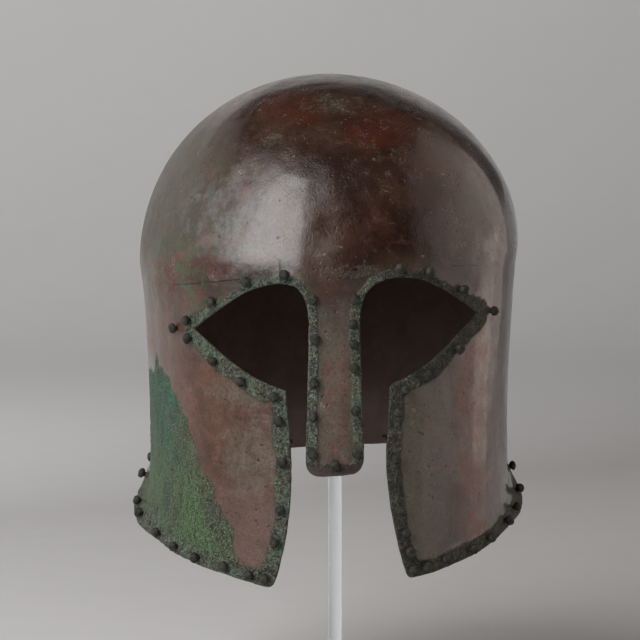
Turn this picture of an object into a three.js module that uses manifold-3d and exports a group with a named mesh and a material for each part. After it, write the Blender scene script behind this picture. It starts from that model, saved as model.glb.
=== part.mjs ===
// Corinthian helmet of hammered bronze, carried by a clear display stand.
// Millimetres, +Z up, the face towards -Y. The origin is the middle of the
// underside of the stand's base. Left is -X, as seen from the front.
//
// The helmet is drawn in its own frame, where z = 0 is the level of the cheek
// tips and the y axis starts at the widest part. Every point of the sheet is
// found from two numbers: the angle round the head, which is 0 at the face
// and grows towards +X, and the level, which is 0 at the lower edge, 1 at the
// ridge under the dome and 2 at the crown.

import * as THREE from 'three';
import { mergeVertices } from 'three/addons/utils/BufferGeometryUtils.js';
import Module from 'manifold-3d';

const wasm = await Module();
wasm.setup();

const { degToRad, lerp, smoothstep } = THREE.MathUtils;

// Helmet sizes
const HELMET_WIDTH = 195.6;      // across the ridge
const FRONT_REACH = 117;         // from the widest part to the forehead
const BACK_REACH = 118;          // from the widest part to the back of the dome
const HELMET_HEIGHT = 247;       // cheek tips to crown
const RIDGE_HEIGHT = 156;        // cheek tips to the ridge, at the sides
const RIDGE_DIP = 10;            // how much lower the ridge runs at the face
const PLAN_POWER = 2.2;          // 2 is an ellipse, more is squarer
const LEAN = 0.053;              // rise for each millimetre towards +X, below the dome

// Lower edge
const NECK_RIM_HEIGHT = 41;      // cheek tips to the edge of the neck guard
const CHEEK_UNLEAN = 0.025;      // what the lower edge lacks of the lean, at the cheeks
const NECK_UNLEAN = 0.1;         // and at the back
const UNLEAN_START = 33;         // that begins this far from the middle
const UNLEAN_FULL = 53;          // and is whole this far from it
const FLARE = 8.2;               // how far the edge turns out at the sides
const FLARE_HEIGHT = 19;         // height of the turned out band at the sides
const NECK_FLARE_HEIGHT = 42;    // its height at the back

// Sheet
const WALL = 1.5;
const NASAL_THICKNESS = 4.6;

// Eye holes, cheek guards and nasal, seen from the front
const EYE_REACH = 70.5;          // middle to the outer corner of an eye
const EYE_CORNER_HEIGHT = 124.8;
const BROW_HEIGHT = 146;         // top of the eye holes
const CHEEK_TOP_HEIGHT = 94.5;   // upper inner corner of a cheek guard
const CHEEK_TOP_REACH = 25.2;    // middle to that corner
const SLOT_HALF = 23;            // middle to a cheek guard, at the narrowest
const TIP_REACH = 33;            // middle to a cheek tip
const NASAL_WIDTH = 24.8;
const NASAL_FOOT_WIDTH = 28.4;
const NASAL_FOOT_HEIGHT = 52.3;
const NASAL_FOOT_RADIUS = 7;
const NASAL_SHIFT = -1.2;        // the nasal stands a little to the left
const FACE_SHIFT = 0.7;          // and the edges round it a little to the right
const TIP_SHIFT = 1.2;           // the cheek tips still more

// Rivets
const HEAD_DIAMETER = 4.8;
const HEAD_HEIGHT = 4;
const SHANK_DIAMETER = 2.2;
const TAIL_DIAMETER = 3.4;
const TAIL_HEIGHT = 1.1;
const RIVET_SIDES = 6;
const FACE_INSET = 4.5;          // rivet to the edge of an eye hole
const CHEEK_INSET = 3.8;         // rivet to the front edge of a cheek guard
const NASAL_INSET = 3.9;         // rivet to a side of the nasal
const NASAL_FOOT_INSET = 5.5;    // rivet to the foot of the nasal
const RIM_INSET = 4.2;           // rivet to the lower edge
const CORNER_INSET = 7.6;        // rivet beyond the outer corner of an eye
const CLEARANCE = 0.3;           // gap between pieces that touch

// Stand
const ROD_DIAMETER = 7.2;
const ROD_SIDES = 20;
const PAD_DIAMETER = 56;
const PAD_HEIGHT = 14;
const PAD_SIDES = 32;
const PAD_SOCKET = 8;            // how deep the rod enters the pad
const BASE_DIAMETER = 150;
const BASE_HEIGHT = 12;
const BASE_BEVEL = 1;
const BASE_SOCKET = 9;           // how deep the rod enters the base
const BASE_SIDES = 48;
const TIPS_ABOVE_BASE = 70;      // base to cheek tips
const HELMET_OFFSET = -3.4;      // the helmet hangs a little to the left of the rod

// Sections of the sheet from the cheek tips to the ridge. at is a share of
// the ridge's height, width of half the helmet's width, front and back of
// the two reaches.
const SECTIONS = [
  { at: -0.10, width: 0.955, front: 1.066, back: 0.920 },
  { at: 0.00, width: 0.955, front: 1.060, back: 0.915 },
  { at: 0.15, width: 0.951, front: 1.052, back: 0.900 },
  { at: 0.30, width: 0.948, front: 1.040, back: 0.893 },
  { at: 0.45, width: 0.946, front: 1.028, back: 0.902 },
  { at: 0.70, width: 0.961, front: 1.010, back: 0.938 },
  { at: 0.84, width: 0.973, front: 1.003, back: 0.966 },
  { at: 0.92, width: 0.984, front: 1.001, back: 0.982 },
  { at: 1.00, width: 1.000, front: 1.000, back: 1.000 },
];

// Lower edge from the cheek tips to the back. ahead is 1 at the face, 0 at
// the widest part and -1 at the back, height a share of the neck rim's and
// flare a share of the turn out at the sides.
const RIM = [
  { ahead: 0.955, height: -0.02, flare: 0 },
  { ahead: 0.860, height: 0.08, flare: 0 },
  { ahead: 0.650, height: 0.21, flare: 0 },
  { ahead: 0.370, height: 0.36, flare: 0.25 },
  { ahead: 0.140, height: 0.48, flare: 0.85 },
  { ahead: 0.000, height: 0.61, flare: 1 },
  { ahead: -0.170, height: 0.87, flare: 0.6 },
  { ahead: -0.330, height: 0.97, flare: 0.4 },
  { ahead: -0.600, height: 1.00, flare: 0.9 },
  { ahead: -1.000, height: 1.00, flare: 1.5 },
];

// Rivets along the edges of the face, as shares of each edge's length, and
// round the lower edge, as degrees from the face.
const FACE_RIVETS = [
  { name: 'brow_left', edge: 'brow', side: -1, at: [0.14, 0.35, 0.56, 0.79, 0.98] },
  { name: 'brow_right', edge: 'brow', side: 1, at: [0.13, 0.39, 0.56, 0.80] },
  { name: 'lid_left', edge: 'lid', side: -1, at: [0.04, 0.34, 0.63, 0.93] },
  { name: 'lid_right', edge: 'lid', side: 1, at: [0.35, 0.70, 0.91] },
  { name: 'cheek_left', edge: 'cheek', side: -1, at: [0.15, 0.36, 0.61, 0.78] },
  { name: 'cheek_right', edge: 'cheek', side: 1, at: [0.14, 0.38, 0.65, 0.77, 0.87] },
  { name: 'nasal_left', edge: 'nasal', side: -1, at: [0.11, 0.43, 0.67, 0.94] },
  { name: 'nasal_right', edge: 'nasal', side: 1, at: [0.01, 0.16, 0.33, 0.64, 0.95] },
];
const RIM_RIVETS = [
  { name: 'rim_left', side: -1, degrees: [19.5, 24.5, 33, 44, 55, 67, 82] },
  { name: 'rim_right', side: 1, degrees: [20.5, 25.5, 32, 44, 54, 68, 78] },
];
const LOST_RIVET_DEGREES = -74;  // an empty hole in the row on the left
const NECK_RIVETS = 19;          // heads on the hidden part of the row
const NECK_ROW_START = 88;       // degrees from the face, on both sides

const BRONZE = { color: 0x4a3c30, roughness: 0.45, metalness: 0.75 };
const CRUST = { color: 0x3f4a38, roughness: 0.8, metalness: 0.3 };
const ACRYLIC = { color: 0xd5e4e6, roughness: 0.08, metalness: 0 };

// Reads a table of rows at a place between two of them.
function readTable(rows, key, place, value) {
  const rising = rows.at(-1)[key] > rows[0][key];
  const beyond = rows.findIndex((row) => (rising ? row[key] > place : row[key] < place));
  if (beyond === 0) return rows[0][value];
  if (beyond < 0) return rows.at(-1)[value];
  const from = rows[beyond - 1];
  const to = rows[beyond];
  return lerp(from[value], to[value], (place - from[key]) / (to[key] - from[key]));
}

// The plan is a superellipse. An angle gives how far a point lies across and
// ahead, as shares of half the width and of the reach.
function planDirection(angle) {
  const sharpen = (value) => Math.sign(value) * Math.abs(value) ** (2 / PLAN_POWER);
  return { across: sharpen(Math.sin(angle)), ahead: sharpen(Math.cos(angle)) };
}

// Heights of the ridge, the lower edge and the turned out band, all without
// the lean
function ridgeHeight(angle) {
  return RIDGE_HEIGHT - RIDGE_DIP * Math.max(Math.cos(angle), 0);
}

function rimHeight(angle) {
  const { across, ahead } = planDirection(angle);
  const x = across * HELMET_WIDTH / 2;
  const unlean = lerp(CHEEK_UNLEAN, NECK_UNLEAN, Math.max(-ahead, 0));
  const fade = smoothstep(Math.abs(x), UNLEAN_START, UNLEAN_FULL);
  return NECK_RIM_HEIGHT * readTable(RIM, 'ahead', ahead, 'height') - unlean * x * fade;
}

function flareHeight(angle) {
  return lerp(FLARE_HEIGHT, NECK_FLARE_HEIGHT, Math.max(-planDirection(angle).ahead, 0));
}

// The sheet's outer face below the ridge, at a height over the cheek tips.
function sidePoint(angle, height) {
  const { across, ahead } = planDirection(angle);
  const share = height / ridgeHeight(angle);
  const reach = ahead > 0 ? -FRONT_REACH * readTable(SECTIONS, 'at', share, 'front')
    : -BACK_REACH * readTable(SECTIONS, 'at', share, 'back');
  const halfWidth = readTable(SECTIONS, 'at', share, 'width') * HELMET_WIDTH / 2;
  const point = new THREE.Vector3(halfWidth * across, reach * ahead, height);
  const above = (height - rimHeight(angle)) / flareHeight(angle);
  const flare = FLARE * readTable(RIM, 'ahead', ahead, 'flare') * Math.max(1 - above, 0) ** 2;
  const outward = new THREE.Vector3(point.x, point.y, 0).normalize();
  point.addScaledVector(outward, flare);
  point.z += LEAN * point.x;
  return point;
}

// The dome is half an ellipsoid on the ridge. The lean fades out towards the
// crown.
function domePoint(angle, rise) {
  const { across, ahead } = planDirection(angle);
  const reach = ahead > 0 ? FRONT_REACH : BACK_REACH;
  const shrink = Math.cos(rise);
  const x = across * shrink * HELMET_WIDTH / 2;
  const height = lerp(ridgeHeight(angle) + LEAN * x, HELMET_HEIGHT, Math.sin(rise));
  return new THREE.Vector3(x, -ahead * shrink * reach, height);
}

function sheetPoint(angle, level) {
  if (level > 1) return domePoint(angle, (level - 1) * Math.PI / 2);
  return sidePoint(angle, lerp(rimHeight(angle), ridgeHeight(angle), level));
}

function sheetNormal(angle, level) {
  const step = 0.01;
  const low = Math.min(level, 2 - 2 * step);
  const around = sheetPoint(angle + step, low).sub(sheetPoint(angle - step, low));
  const upward = sheetPoint(angle, low + step).sub(sheetPoint(angle, low - step));
  return around.cross(upward).normalize();
}

function levelAt(angle, height) {
  const ridge = ridgeHeight(angle);
  if (height > ridge) return 1 + Math.asin((height - ridge) / (HELMET_HEIGHT - ridge)) * 2 / Math.PI;
  const rim = rimHeight(angle);
  return (height - rim) / (ridge - rim);
}

// The angle at which the front of the sheet has a given x, by halving.
function angleAt(x, height) {
  let near = 0;
  let far = Math.PI / 2;
  for (let turn = 0; turn < 30; turn += 1) {
    const middle = (near + far) / 2;
    const reached = sheetPoint(middle, levelAt(middle, height)).x;
    if (reached < Math.abs(x)) near = middle;
    else far = middle;
  }
  return Math.sign(x) * near;
}

// Solids that can be cut, from geometry, and back
function solidOf(geometry) {
  const bare = geometry.clone();
  bare.deleteAttribute('normal');
  bare.deleteAttribute('uv');
  const merged = mergeVertices(bare, 1e-4);
  const vertProperties = new Float32Array(merged.attributes.position.array);
  const triVerts = new Uint32Array(merged.index.array);
  return new wasm.Manifold(new wasm.Mesh({ numProp: 3, vertProperties, triVerts }));
}

function geometryOf(solid) {
  const { vertProperties, triVerts } = solid.getMesh();
  const geometry = new THREE.BufferGeometry();
  geometry.setAttribute('position', new THREE.BufferAttribute(vertProperties, 3));
  geometry.setIndex(new THREE.BufferAttribute(triVerts, 1));
  geometry.computeVertexNormals();
  return geometry;
}

// A closed skin over rings of points, from the lowest ring up, with a point
// under the first ring and one over the last.
function ringsGeometry(rings, foot, top) {
  const count = rings[0].length;
  const points = [...rings.flat(), foot, top];
  const footIndex = points.length - 2;
  const topIndex = points.length - 1;
  const faces = [];
  for (let column = 0; column < count; column += 1) {
    const next = (column + 1) % count;
    faces.push(footIndex, next, column);
    for (let row = 0; row < rings.length - 1; row += 1) {
      const low = row * count;
      const high = low + count;
      faces.push(low + column, low + next, high + next);
      faces.push(low + column, high + next, high + column);
    }
    const last = (rings.length - 1) * count;
    faces.push(last + column, last + next, topIndex);
  }
  const geometry = new THREE.BufferGeometry().setFromPoints(points);
  geometry.setIndex(faces);
  return geometry;
}

// Where the rings of points lie, as shares of the turned out band, of the
// height from the band to the ridge, and of the dome.
const COLUMNS = 50;
const FLARE_STEPS = [0.25, 0.5, 1];
const SIDE_STEPS = [0.25, 0.5, 0.75, 0.9, 1];
const DOME_STEPS = [0.04, 0.09, 0.16, 0.26, 0.38, 0.51, 0.65, 0.78, 0.9];

// The hollow is cut from this far below the lower edge.
const INNER_DROP = 5 * WALL;

// The solid inside the sheet's outer face, or inside a face that lies inset
// below it. It starts a drop below the lower edge.
function bodySolid(inset, drop) {
  const ringAt = (levelOf) => Array.from({ length: COLUMNS }, (_, column) => {
    const angle = column * 2 * Math.PI / COLUMNS;
    const level = levelOf(angle);
    return sheetPoint(angle, level).addScaledVector(sheetNormal(angle, level), -inset);
  });
  const sideHeight = (angle) => ridgeHeight(angle) - rimHeight(angle);
  const flareLevel = (angle) => flareHeight(angle) / sideHeight(angle);
  const rings = [];
  if (drop > 0) rings.push(ringAt((angle) => -drop / sideHeight(angle)));
  rings.push(ringAt(() => 0));
  for (const step of FLARE_STEPS) rings.push(ringAt((angle) => flareLevel(angle) * step));
  for (const step of SIDE_STEPS) rings.push(ringAt((angle) => lerp(flareLevel(angle), 1, step)));
  for (const step of DOME_STEPS) rings.push(ringAt(() => 1 + step));
  const foot = new THREE.Vector3(0, 0, NECK_RIM_HEIGHT / 2 - drop);
  const top = new THREE.Vector3(0, 0, HELMET_HEIGHT - inset);
  return solidOf(ringsGeometry(rings, foot, top));
}

// Edges of the face, seen from the front on the right half: x across and y
// up. A place on an eye hole is a share of its width and of its height.
const nasalHalf = NASAL_WIDTH / 2;
const footHalf = NASAL_FOOT_WIDTH / 2;
const flat = (x, y) => new THREE.Vector2(x, y);
const eyeAt = (across, up) => flat(
  lerp(nasalHalf, EYE_REACH, across),
  lerp(CHEEK_TOP_HEIGHT, BROW_HEIGHT, up),
);

function pathOf(...curves) {
  const path = new THREE.CurvePath();
  curves.forEach((curve) => path.add(curve));
  return path;
}

const browStart = eyeAt(0, 0.61);
const browTop = eyeAt(0.3, 1);
const eyeCorner = flat(EYE_REACH, EYE_CORNER_HEIGHT);
const cheekTop = flat(CHEEK_TOP_REACH, CHEEK_TOP_HEIGHT);
const cheekWaist = flat(SLOT_HALF, CHEEK_TOP_HEIGHT * 0.63);
const cheekTip = flat(TIP_REACH, 0);
const nasalFootEdge = flat(footHalf, NASAL_FOOT_HEIGHT + NASAL_FOOT_RADIUS);

const EDGES = {
  brow: pathOf(
    new THREE.CubicBezierCurve(browStart, eyeAt(0.01, 0.92), eyeAt(0.11, 1), browTop),
    new THREE.CubicBezierCurve(browTop, eyeAt(0.54, 1), eyeAt(0.75, 0.81), eyeCorner),
  ),
  lid: pathOf(
    new THREE.CubicBezierCurve(eyeCorner, eyeAt(0.78, 0.38), eyeAt(0.56, 0.11), cheekTop),
  ),
  cheek: pathOf(
    new THREE.LineCurve(cheekTop, cheekWaist),
    new THREE.CubicBezierCurve(
      cheekWaist,
      flat(SLOT_HALF, CHEEK_TOP_HEIGHT * 0.44),
      flat(lerp(SLOT_HALF, TIP_REACH, 0.37), CHEEK_TOP_HEIGHT * 0.17),
      cheekTip,
    ),
  ),
  nasal: pathOf(new THREE.LineCurve(browStart, nasalFootEdge)),
};

// How far the rivets lie from an edge, to the left of it as it runs
const INSETS = { brow: FACE_INSET, lid: FACE_INSET, cheek: CHEEK_INSET, nasal: -NASAL_INSET };

// Points along an edge, without its last one, which the next edge starts with
const EDGE_POINTS = 7;
function edgePoints(name) {
  return EDGES[name].getPoints(EDGE_POINTS).slice(0, -1);
}

// The nasal's foot has round corners.
function nasalFootPoints() {
  const corner = new THREE.EllipseCurve(
    footHalf - NASAL_FOOT_RADIUS, NASAL_FOOT_HEIGHT + NASAL_FOOT_RADIUS,
    NASAL_FOOT_RADIUS, NASAL_FOOT_RADIUS, 0, -Math.PI / 2, true,
  );
  return corner.getPoints(4);
}

// Where a point of the face lies on one side of the helmet, which isn't quite
// symmetric
function drawnAt(side, { x, y }) {
  const aside = smoothstep(x, nasalHalf, CHEEK_TOP_REACH);
  const low = Math.max(1 - y / CHEEK_TOP_HEIGHT, 0);
  const shift = lerp(NASAL_SHIFT, FACE_SHIFT + TIP_SHIFT * low, aside);
  return flat(side * x + shift, y);
}

const leaning = ({ x, y }) => flat(x, y + LEAN * x);
const drawn = (side, points) => points.map((point) => leaning(drawnAt(side, point)));

// A prism through the front of the sheet, from a shape seen from the front.
// It starts a little ahead of the widest part.
const PRISM_START = -FRONT_REACH * 0.2;
const PRISM_DEPTH = FRONT_REACH * 1.4;
function frontPrism(points) {
  const shape = new THREE.Shape(points);
  const prism = new THREE.ExtrudeGeometry(shape, { depth: PRISM_DEPTH, bevelEnabled: false });
  return solidOf(prism.rotateX(Math.PI / 2).translate(0, PRISM_START, 0));
}

function faceOpening() {
  const below = flat(TIP_REACH, -NECK_RIM_HEIGHT);
  const half = [...edgePoints('brow'), ...edgePoints('lid'), ...edgePoints('cheek'), cheekTip, below];
  const foot = nasalFootPoints();
  return frontPrism([
    ...drawn(1, half),
    ...drawn(-1, half).reverse(),
    ...drawn(-1, foot),
    ...drawn(1, foot).reverse(),
  ]);
}

function nasalPrism() {
  const half = [flat(nasalHalf, BROW_HEIGHT), browStart, ...nasalFootPoints()];
  return frontPrism([...drawn(1, half), ...drawn(-1, half).reverse()]);
}

// The nasal is thicker than the rest of the sheet, on its inner side.
function nasalBar(outer) {
  return outer.subtract(bodySolid(NASAL_THICKNESS, INNER_DROP)).intersect(nasalPrism());
}

// The outline of a rivet from its hammered tail to its head. Its origin lies
// on the outer face of the sheet.
function rivetProfile(thickness, gap) {
  const head = HEAD_DIAMETER / 2;
  const shank = SHANK_DIAMETER / 2;
  const tailTop = -thickness - gap;
  return [
    flat(0, tailTop - TAIL_HEIGHT),
    flat(TAIL_DIAMETER / 2, tailTop),
    flat(shank, tailTop),
    flat(shank, gap),
    flat(head * 0.8, gap),
    flat(head, gap + HEAD_HEIGHT / 2),
    flat(0, gap + HEAD_HEIGHT),
  ];
}
const HEAD_POINTS = 3;

function latheUpright(profile, sides) {
  return new THREE.LatheGeometry(profile, sides).rotateX(Math.PI / 2);
}

// A head alone, grown together with the sheet
function headGeometry() {
  const root = -WALL / 2;
  const outline = rivetProfile(0, root).slice(-HEAD_POINTS);
  return latheUpright([flat(0, root), ...outline], RIVET_SIDES);
}

function holeGeometry() {
  const radius = SHANK_DIAMETER / 2 + CLEARANCE;
  const length = 2 * NASAL_THICKNESS + HEAD_HEIGHT;
  return new THREE.CylinderGeometry(radius, radius, length, RIVET_SIDES).rotateX(Math.PI / 2);
}

// A place on the sheet is a point, and the turn that aims +Z straight out.
function placeOn(angle, level) {
  const outward = sheetNormal(angle, level);
  const turn = new THREE.Quaternion().setFromUnitVectors(new THREE.Vector3(0, 0, 1), outward);
  return { position: sheetPoint(angle, level), turn };
}

function placeAt(x, height) {
  const angle = angleAt(x, height);
  return placeOn(angle, levelAt(angle, height));
}

function alongEdge(edge, side, share) {
  const point = EDGES[edge].getPointAt(share);
  const run = EDGES[edge].getTangentAt(share);
  const inward = flat(-run.y, run.x).multiplyScalar(INSETS[edge]);
  const { x, y } = drawnAt(side, point.add(inward));
  return placeAt(x, y);
}

function alongRim(angle) {
  const height = ridgeHeight(angle) - rimHeight(angle);
  return placeOn(angle, RIM_INSET / height);
}

function rivetPlaces() {
  const places = [];
  const add = (row, index, place) => places.push({ name: `rivet_${row}_${index + 1}`, ...place });
  for (const { name, edge, side, at } of FACE_RIVETS) {
    at.forEach((share, index) => add(name, index, alongEdge(edge, side, share)));
  }
  for (const { name, side, degrees } of RIM_RIVETS) {
    degrees.forEach((angle, index) => add(name, index, alongRim(side * degToRad(angle))));
  }
  [-1, 1].forEach((side, index) => {
    const beyond = side * (EYE_REACH + CORNER_INSET);
    add('eye_corner', index, placeAt(beyond, EYE_CORNER_HEIGHT));
  });
  add('nasal_foot', 0, placeAt(NASAL_SHIFT, NASAL_FOOT_HEIGHT + NASAL_FOOT_INSET));
  return places;
}

function neckPlaces() {
  const start = degToRad(NECK_ROW_START);
  const end = 2 * Math.PI - start;
  return Array.from({ length: NECK_RIVETS }, (_, index) => (
    alongRim(lerp(start, end, index / (NECK_RIVETS - 1)))
  ));
}

function solidAt(geometry, { position, turn }) {
  const placed = geometry.clone().applyQuaternion(turn);
  return solidOf(placed.translate(position.x, position.y, position.z));
}

const rivetSpots = rivetPlaces();

function shellGeometry() {
  const outer = bodySolid(0, 0);
  const sheet = outer.subtract(bodySolid(WALL, INNER_DROP));
  const open = sheet.subtract(faceOpening()).add(nasalBar(outer));
  const head = headGeometry();
  const heads = neckPlaces().map((place) => solidAt(head, place));
  const hole = holeGeometry();
  const lost = alongRim(degToRad(LOST_RIVET_DEGREES));
  const holes = [...rivetSpots, lost].map((place) => solidAt(hole, place));
  const studded = heads.reduce((shell, solid) => shell.add(solid), open);
  return geometryOf(holes.reduce((shell, solid) => shell.subtract(solid), studded));
}

// The pad fills the crown under the sheet and has a socket for the rod.
function padGeometry() {
  const top = HELMET_HEIGHT;
  const low = HELMET_HEIGHT - WALL - PAD_HEIGHT;
  const radius = PAD_DIAMETER / 2;
  const below = low - CLEARANCE;
  const hole = ROD_DIAMETER / 2 + CLEARANCE;
  const roof = low + PAD_SOCKET;
  const disc = latheUpright([flat(0, low), flat(radius, low), flat(radius, top), flat(0, top)], PAD_SIDES);
  const bore = [flat(0, below), flat(hole, below), flat(hole, roof), flat(0, roof)];
  const socket = latheUpright(bore, ROD_SIDES);
  const onRod = (geometry) => solidOf(geometry.translate(-HELMET_OFFSET, 0, 0));
  const hollow = bodySolid(WALL + CLEARANCE, 0);
  return geometryOf(onRod(disc).intersect(hollow).subtract(onRod(socket)));
}

function baseGeometry() {
  const radius = BASE_DIAMETER / 2;
  const hole = ROD_DIAMETER / 2 + CLEARANCE;
  const floor = BASE_HEIGHT - BASE_SOCKET;
  const profile = [
    flat(0, 0),
    flat(radius, 0),
    flat(radius, BASE_HEIGHT - BASE_BEVEL),
    flat(radius - BASE_BEVEL, BASE_HEIGHT),
    flat(hole, BASE_HEIGHT),
    flat(hole, floor),
    flat(0, floor),
  ];
  return latheUpright(profile, BASE_SIDES);
}

// The rod ends a clearance short of the pad's socket.
const tipLevel = BASE_HEIGHT + TIPS_ABOVE_BASE;
const rodFoot = BASE_HEIGHT - BASE_SOCKET + CLEARANCE;
const padFoot = tipLevel + HELMET_HEIGHT - WALL - PAD_HEIGHT;
const rodTop = padFoot + PAD_SOCKET - CLEARANCE;

function rodGeometry() {
  const radius = ROD_DIAMETER / 2;
  const rod = new THREE.CylinderGeometry(radius, radius, rodTop - rodFoot, ROD_SIDES);
  return rod.rotateX(Math.PI / 2).translate(0, 0, (rodTop + rodFoot) / 2);
}

function piece(name, geometry, finish) {
  const mesh = new THREE.Mesh(geometry, new THREE.MeshStandardMaterial(finish));
  mesh.name = name;
  return mesh;
}

// The helmet's frame stands over the base.
const helmet = new THREE.Group();
helmet.position.set(HELMET_OFFSET, 0, tipLevel);
helmet.add(piece('helmet_shell', shellGeometry(), BRONZE));
helmet.add(piece('stand_pad', padGeometry(), ACRYLIC));

const sheetRivet = latheUpright(rivetProfile(WALL, CLEARANCE), RIVET_SIDES);
const nasalRivet = latheUpright(rivetProfile(NASAL_THICKNESS, CLEARANCE), RIVET_SIDES);
const nasalReach = nasalHalf + TAIL_DIAMETER;
for (const { name, position, turn } of rivetSpots) {
  const onNasal = Math.abs(position.x - NASAL_SHIFT) < nasalReach && position.z < BROW_HEIGHT;
  const rivet = piece(name, onNasal ? nasalRivet : sheetRivet, CRUST);
  rivet.position.copy(position);
  rivet.quaternion.copy(turn);
  helmet.add(rivet);
}

const model = new THREE.Group();
model.add(helmet);
model.add(piece('stand_rod', rodGeometry(), ACRYLIC));
model.add(piece('stand_base', baseGeometry(), ACRYLIC));

export default model;
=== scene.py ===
# %% [markdown]
# # A corinthian helmet on its display stand
# The helmet is one sheet of hammered bronze: a dome, a ridge under it, a
# face with two eye holes and a long nasal, and two cheek guards. A clear rod
# carries it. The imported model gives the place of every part, and this lesson
# dresses them, from the camera to the last rivet.

import math

import bpy
import numpy as np
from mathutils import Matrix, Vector


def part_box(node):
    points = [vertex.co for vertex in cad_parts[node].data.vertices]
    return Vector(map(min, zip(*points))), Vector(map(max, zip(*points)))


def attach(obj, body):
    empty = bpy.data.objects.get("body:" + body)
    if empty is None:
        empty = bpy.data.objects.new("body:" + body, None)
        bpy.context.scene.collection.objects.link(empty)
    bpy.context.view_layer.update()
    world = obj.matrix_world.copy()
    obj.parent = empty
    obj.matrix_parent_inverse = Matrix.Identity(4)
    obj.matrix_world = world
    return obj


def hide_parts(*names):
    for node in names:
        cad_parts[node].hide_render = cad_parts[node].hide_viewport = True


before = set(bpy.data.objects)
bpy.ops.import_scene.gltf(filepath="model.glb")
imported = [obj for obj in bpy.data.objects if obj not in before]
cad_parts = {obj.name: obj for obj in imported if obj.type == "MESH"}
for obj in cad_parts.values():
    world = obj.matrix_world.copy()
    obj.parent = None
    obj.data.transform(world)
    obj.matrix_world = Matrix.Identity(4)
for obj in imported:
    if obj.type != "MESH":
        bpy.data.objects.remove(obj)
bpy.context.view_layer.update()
print("parts in the frame:", len(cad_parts))

# %% [markdown]
# ## Camera
# A long lens far away shows the helmet with hardly any perspective. The
# camera stands a little above the middle of the helmet, and the helmet's
# face is turned 2 degrees away from it.

# %% The camera
MM = 0.001
CAMERA_DISTANCE = 1.6
CAMERA_RISE = math.radians(4)
CAMERA_TURN = math.radians(2)
LENS = 173
SENSOR = 36
AIM = Vector((-3.4 * MM, 0, 201.3 * MM))
SIDE_SHIFT = -0.0133

back = Vector((
    -math.sin(CAMERA_TURN) * math.cos(CAMERA_RISE),
    -math.cos(CAMERA_TURN) * math.cos(CAMERA_RISE),
    math.sin(CAMERA_RISE),
))
lens_data = bpy.data.cameras.new("camera")
lens_data.lens = LENS
lens_data.sensor_width = SENSOR
lens_data.shift_x = SIDE_SHIFT
camera = bpy.data.objects.new("camera", lens_data)
camera.location = AIM + back * CAMERA_DISTANCE
camera.rotation_euler = (-back).to_track_quat("-Z", "Y").to_euler()
bpy.context.scene.collection.objects.link(camera)
bpy.context.scene.camera = camera
print("camera at", [round(value, 3) for value in camera.location])

# %% [markdown]
# ## The sheet as a surface of two numbers
# Every point of the sheet is found from two numbers: the angle round the
# head, which is 0 at the face and grows towards +X, and the level, which is
# 0 at the lower edge, 1 at the ridge and 2 at the crown. The same idea drives
# the solids, so the fine surface lies where they are. The helmet has a frame
# of its own, whose z = 0 is the level of the cheek tips.

# %% Sizes of the helmet
WIDTH = 195.6 * MM
FRONT_REACH = 117 * MM
BACK_REACH = 118 * MM
HEIGHT = 247 * MM
RIDGE_HEIGHT = 156 * MM
RIDGE_DIP = 10 * MM
PLAN_SQUARENESS = 0.032
LEAN = 0.053
NECK_RIM = 41 * MM
CHEEK_UNLEAN = 0.025
NECK_UNLEAN = 0.1
UNLEAN_START = 33 * MM
UNLEAN_FULL = 53 * MM
FLARE = 8.2 * MM
FLARE_HEIGHT = 19 * MM
NECK_FLARE_HEIGHT = 42 * MM
WALL = 1.5 * MM
NASAL_THICKNESS = 4.6 * MM
HELMET_OFFSET = -3.4 * MM
TIP_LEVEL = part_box("helmet_shell")[1].z - HEIGHT
print("cheek tips at z =", round(TIP_LEVEL, 4))

# %% Tables of the side's sections and of the lower edge
SECTIONS = {
    "at": [-0.10, 0.00, 0.15, 0.30, 0.45, 0.70, 0.84, 0.92, 1.00],
    "width": [0.955, 0.955, 0.951, 0.948, 0.946, 0.961, 0.973, 0.984, 1.000],
    "front": [1.066, 1.060, 1.052, 1.040, 1.028, 1.010, 1.003, 1.001, 1.000],
    "back": [0.920, 0.915, 0.900, 0.893, 0.902, 0.938, 0.966, 0.982, 1.000],
}
RIM = {
    "ahead": [-1.0, -0.6, -0.33, -0.17, 0.0, 0.14, 0.37, 0.65, 0.86, 0.955],
    "height": [1.00, 1.00, 0.97, 0.87, 0.61, 0.48, 0.36, 0.21, 0.08, -0.02],
    "flare": [1.5, 0.9, 0.4, 0.6, 1.0, 0.85, 0.25, 0.0, 0.0, 0.0],
}


def through(knots, values, place):
    """A smooth curve through the rows of a table: cubic pieces whose slope at
    a row is that of the line between its two neighbours."""
    knots = np.asarray(knots, float)
    values = np.asarray(values, float)
    slopes = np.gradient(values, knots)
    place = np.clip(place, knots[0], knots[-1])
    row = np.clip(np.searchsorted(knots, place, side="right") - 1, 0, len(knots) - 2)
    span = knots[row + 1] - knots[row]
    t = (place - knots[row]) / span
    return (values[row] * (1 + 2 * t) * (1 - t) ** 2
            + slopes[row] * span * t * (1 - t) ** 2
            + values[row + 1] * t ** 2 * (3 - 2 * t)
            + slopes[row + 1] * span * t ** 2 * (t - 1))


def smooth(x, low, high):
    """0 below low, 1 above high, and a smooth step between them."""
    t = np.clip((x - low) / (high - low), 0, 1)
    return t * t * (3 - 2 * t)


def blend(a, b, share):
    """The value that lies that share of the way from a to b."""
    return a + (b - a) * share


# %% The plan, the ridge and the lower edge
def plan(angle):
    """How far a direction goes across and ahead: a circle pushed out by a
    few hundredths half way between the axes, which makes it squarer."""
    push = 1 + PLAN_SQUARENESS * np.sin(2 * angle) ** 2
    return push * np.sin(angle), push * np.cos(angle)


def ridge_height(angle):
    """The ridge dips towards the face."""
    return RIDGE_HEIGHT - RIDGE_DIP * np.maximum(np.cos(angle), 0)


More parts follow.
